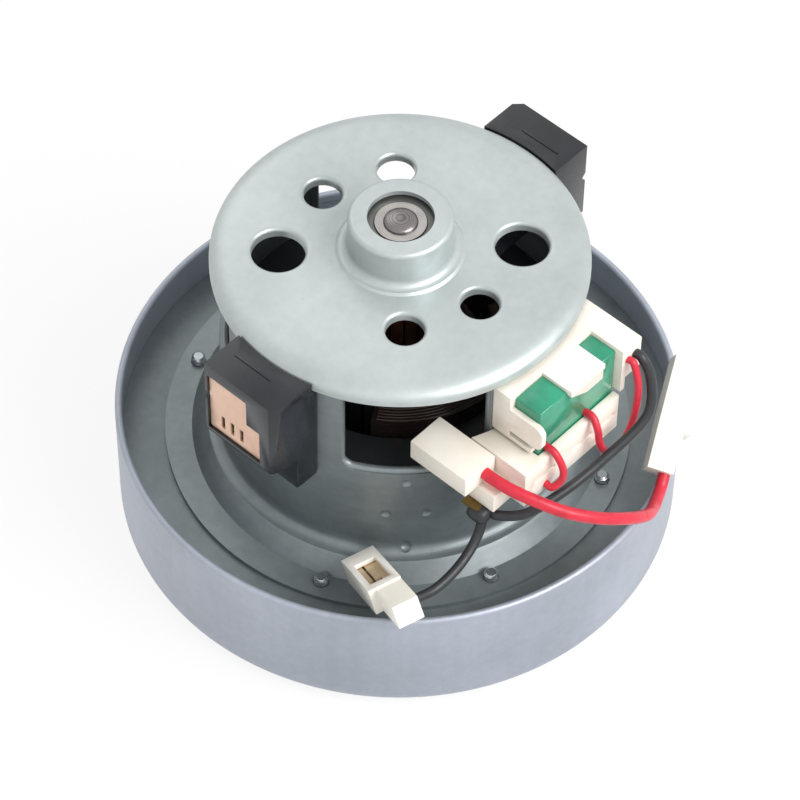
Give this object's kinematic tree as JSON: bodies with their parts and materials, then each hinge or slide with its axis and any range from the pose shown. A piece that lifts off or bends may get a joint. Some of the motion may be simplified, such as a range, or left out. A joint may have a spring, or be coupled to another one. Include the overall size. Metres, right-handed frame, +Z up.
{
  "type": "vacuum motor unit",
  "caption": "Vacuum cleaner motor unit: flat round fan case, commutator motor in a windowed steel frame with vented end cap, brush holders, terminal block and plug-ended leads.",
  "frame": {"origin": "centre of the fan case's underside, on the motor's axis", "axes": "+Z up the shaft from the air inlet to the end cap, +X along the brushes, -Y towards the terminal block"},
  "size_m": [0.136, 0.142, 0.0968],
  "materials": {
    "case_zinc": "satin zinc plate",
    "frame_zinc": "satin zinc plate",
    "cap_zinc": "pale zinc plate",
    "diffuser_plastic": "moulded",
    "screw_steel": "zinc plate",
    "lamination": "stacked sheet",
    "winding": "enamelled copper wire",
    "bearing_steel": "ground",
    "shield": "dark pressed sheet",
    "cage_nylon": "moulded",
    "holder_plastic": "moulded",
    "brush_brass": "drawn",
    "end_plate_copper": "pale copper plate",
    "spring_steel": "drawn wire",
    "carbon": "pressed carbon",
    "terminal_plastic": "moulded, cream white",
    "cutout_green": "moulded",
    "contact_brass": "stamped",
    "red_wire": "insulated wire",
    "black_wire": "insulated wire",
    "plug_plastic": "moulded, white",
    "shaft_steel": "ground",
    "commutator_copper": "turned copper",
    "hub_resin": "moulded resin",
    "fan_aluminium": "pressed sheet"
  },
  "bodies": {
    "stator": {"fan_case": "case_zinc", "diffuser": "diffuser_plastic", "bearing_plate": "frame_zinc", "motor_frame": "frame_zinc", "frame_screws": "screw_steel", "end_cap": "cap_zinc", "field_core": "lamination", "field_coil_front": "winding", "field_coil_back": "winding", "lower_bearing_outer": "bearing_steel", "lower_bearing_shields": "shield", "upper_bearing_outer": "bearing_steel", "upper_bearing_shields": "shield", "wave_washer": "screw_steel", "brush_holder_left": "holder_plastic", "brush_holder_right": "holder_plastic", "brush_tube_left": "brush_brass", "brush_tube_right": "brush_brass", "end_plate_left": "end_plate_copper", "end_plate_right": "end_plate_copper", "brush_spring_left": "spring_steel", "brush_spring_right": "spring_steel", "terminal_cover": "terminal_plastic", "terminal_housing": "terminal_plastic", "thermal_cutout": "cutout_green", "coil_connector": "terminal_plastic", "coil_contact": "contact_brass", "tab_terminal": "contact_brass", "red_jumpers": "red_wire", "black_jumper": "black_wire", "black_lead": "black_wire", "red_lead": "red_wire", "front_plug": "plug_plastic", "right_plug": "plug_plastic", "front_contact": "contact_brass", "right_contact": "contact_brass"},
    "rotor": {"shaft": "shaft_steel", "armature_core": "lamination", "armature_winding": "winding", "commutator_hub": "hub_resin", "commutator_bars": "commutator_copper", "lower_bearing_inner": "bearing_steel", "upper_bearing_inner": "bearing_steel", "fan_back_disc": "fan_aluminium", "fan_blades": "fan_aluminium", "fan_front_disc": "fan_aluminium", "fan_spacer": "screw_steel", "fan_washer": "screw_steel", "fan_nut": "screw_steel"},
    "upper_balls": {"upper_bearing_balls": "bearing_steel", "upper_bearing_cage": "cage_nylon"},
    "lower_balls": {"lower_bearing_balls": "bearing_steel", "lower_bearing_cage": "cage_nylon"},
    "brush_left": {"carbon_brush_left": "carbon"},
    "brush_right": {"carbon_brush_right": "carbon"}
  },
  "joints": [
    {"name": "rotor_spin", "type": "hinge", "parent": "stator", "child": "rotor", "pos_m": [0, 0, 0.05], "axis": [0, 0, 1], "continuous": true},
    {"name": "upper_cage_spin", "type": "hinge", "parent": "stator", "child": "upper_balls", "pos_m": [0, 0, 0.0915], "axis": [0, 0, 1], "continuous": true},
    {"name": "lower_cage_spin", "type": "hinge", "parent": "stator", "child": "lower_balls", "pos_m": [0, 0, 0.0193], "axis": [0, 0, 1], "continuous": true},
    {"name": "brush_left_slide", "type": "slide", "parent": "stator", "child": "brush_left", "axis": [-1, 0, 0], "range_m": [0, 0.006], "stiffness_N_per_m": 150, "springref_m": -0.02, "deforming": ["brush_spring_left"]},
    {"name": "brush_right_slide", "type": "slide", "parent": "stator", "child": "brush_right", "axis": [1, 0, 0], "range_m": [0, 0.006], "stiffness_N_per_m": 150, "springref_m": -0.02, "deforming": ["brush_spring_right"]}
  ],
  "couplings": [
    {"joint": "upper_cage_spin", "follows": "rotor_spin", "ratio": 0.36767},
    {"joint": "lower_cage_spin", "follows": "rotor_spin", "ratio": 0.36767}
  ]
}
